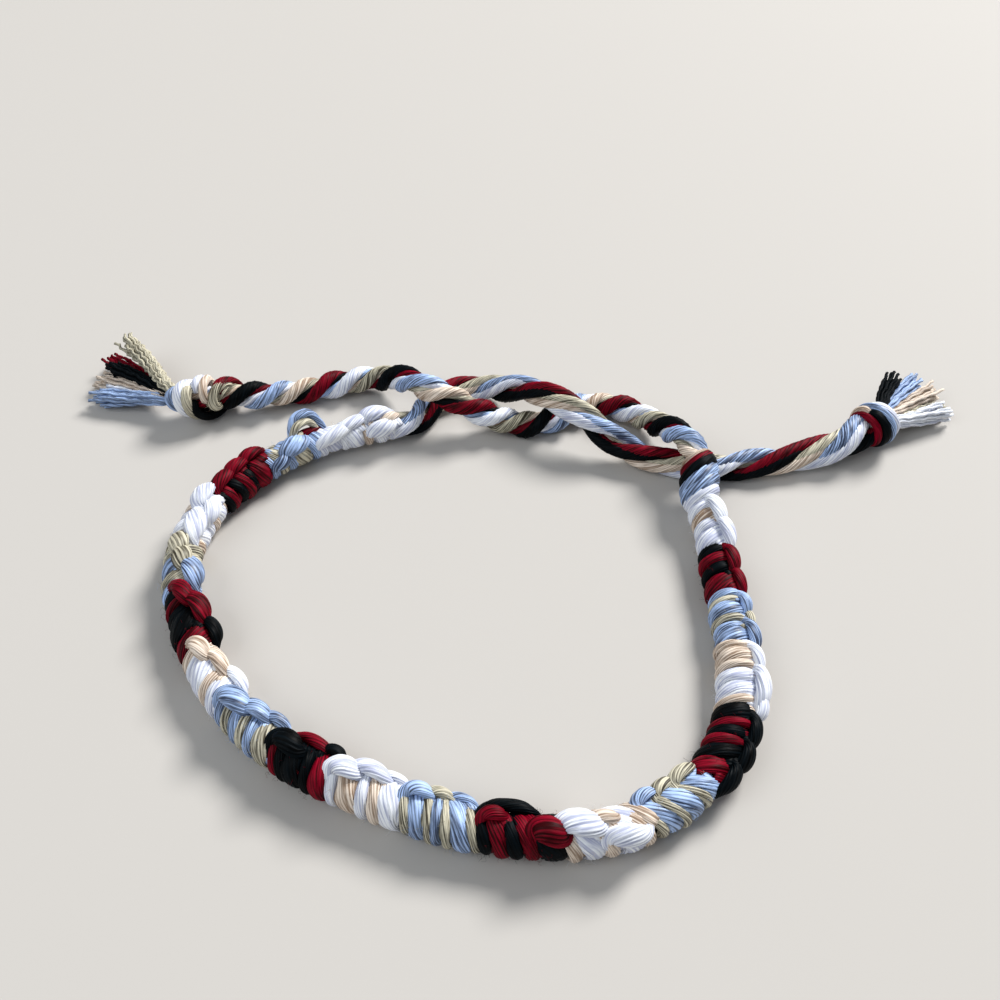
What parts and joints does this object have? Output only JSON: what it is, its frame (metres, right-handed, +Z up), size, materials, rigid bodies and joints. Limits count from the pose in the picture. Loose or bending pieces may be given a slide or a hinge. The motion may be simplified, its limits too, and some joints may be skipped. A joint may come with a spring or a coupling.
{
  "type": "friendship bracelet",
  "caption": "Round knotted cord bracelet of spiral staircase knots in changing colours, closed into a loop, with twisted ties ending in overhand knots and cut tufts.",
  "frame": {"origin": "on the surface the bracelet lies on, under the middle of the box round the knotted band and its start knot", "axes": "+X along the loop's longest width, with the tufted ends beyond its back; +Y to the back, where the ties cross; +Z up from the surface"},
  "size_m": [0.1115, 0.0704, 0.0068],
  "materials": {
    "floss_white": "silky mercerised cotton thread with its plies showing",
    "floss_peach": "silky mercerised cotton thread with its plies showing",
    "floss_black": "silky mercerised cotton thread with its plies showing",
    "floss_red": "silky mercerised cotton thread with its plies showing",
    "floss_blue": "silky mercerised cotton thread with its plies showing",
    "floss_khaki": "silky mercerised cotton thread with its plies showing",
    "six_flosses": "the six flosses side by side: white, peach, black, red, blue and khaki"
  },
  "bodies": {
    "root": {"knots_01_white_peach": "floss_white", "knots_02_black_red": "floss_black", "knots_03_blue_khaki": "floss_blue", "knots_04_white_peach": "floss_white", "knots_05_black_red": "floss_black", "knots_06_blue_khaki": "floss_blue", "knots_07_white_peach": "floss_white", "knots_08_black_red": "floss_black", "knots_09_blue_khaki": "floss_blue", "knots_10_white_peach": "floss_white", "knots_11_black_red": "floss_black", "knots_12_blue_khaki": "floss_blue", "knots_13_white_peach": "floss_white", "knots_14_black_red": "floss_black", "knots_15_blue_khaki": "floss_blue", "knots_16_white_peach": "floss_white", "knots_17_black_red": "floss_black", "knots_18_blue_khaki": "floss_blue", "knots_19_white_peach": "floss_white", "core_strands": "six_flosses", "start_knot": "six_flosses", "tie_to_left": "six_flosses", "tie_to_right": "six_flosses", "end_knot_left": "six_flosses", "end_knot_right": "six_flosses", "tassel_left": "six_flosses", "tassel_right": "six_flosses"}
  },
  "joints": []
}
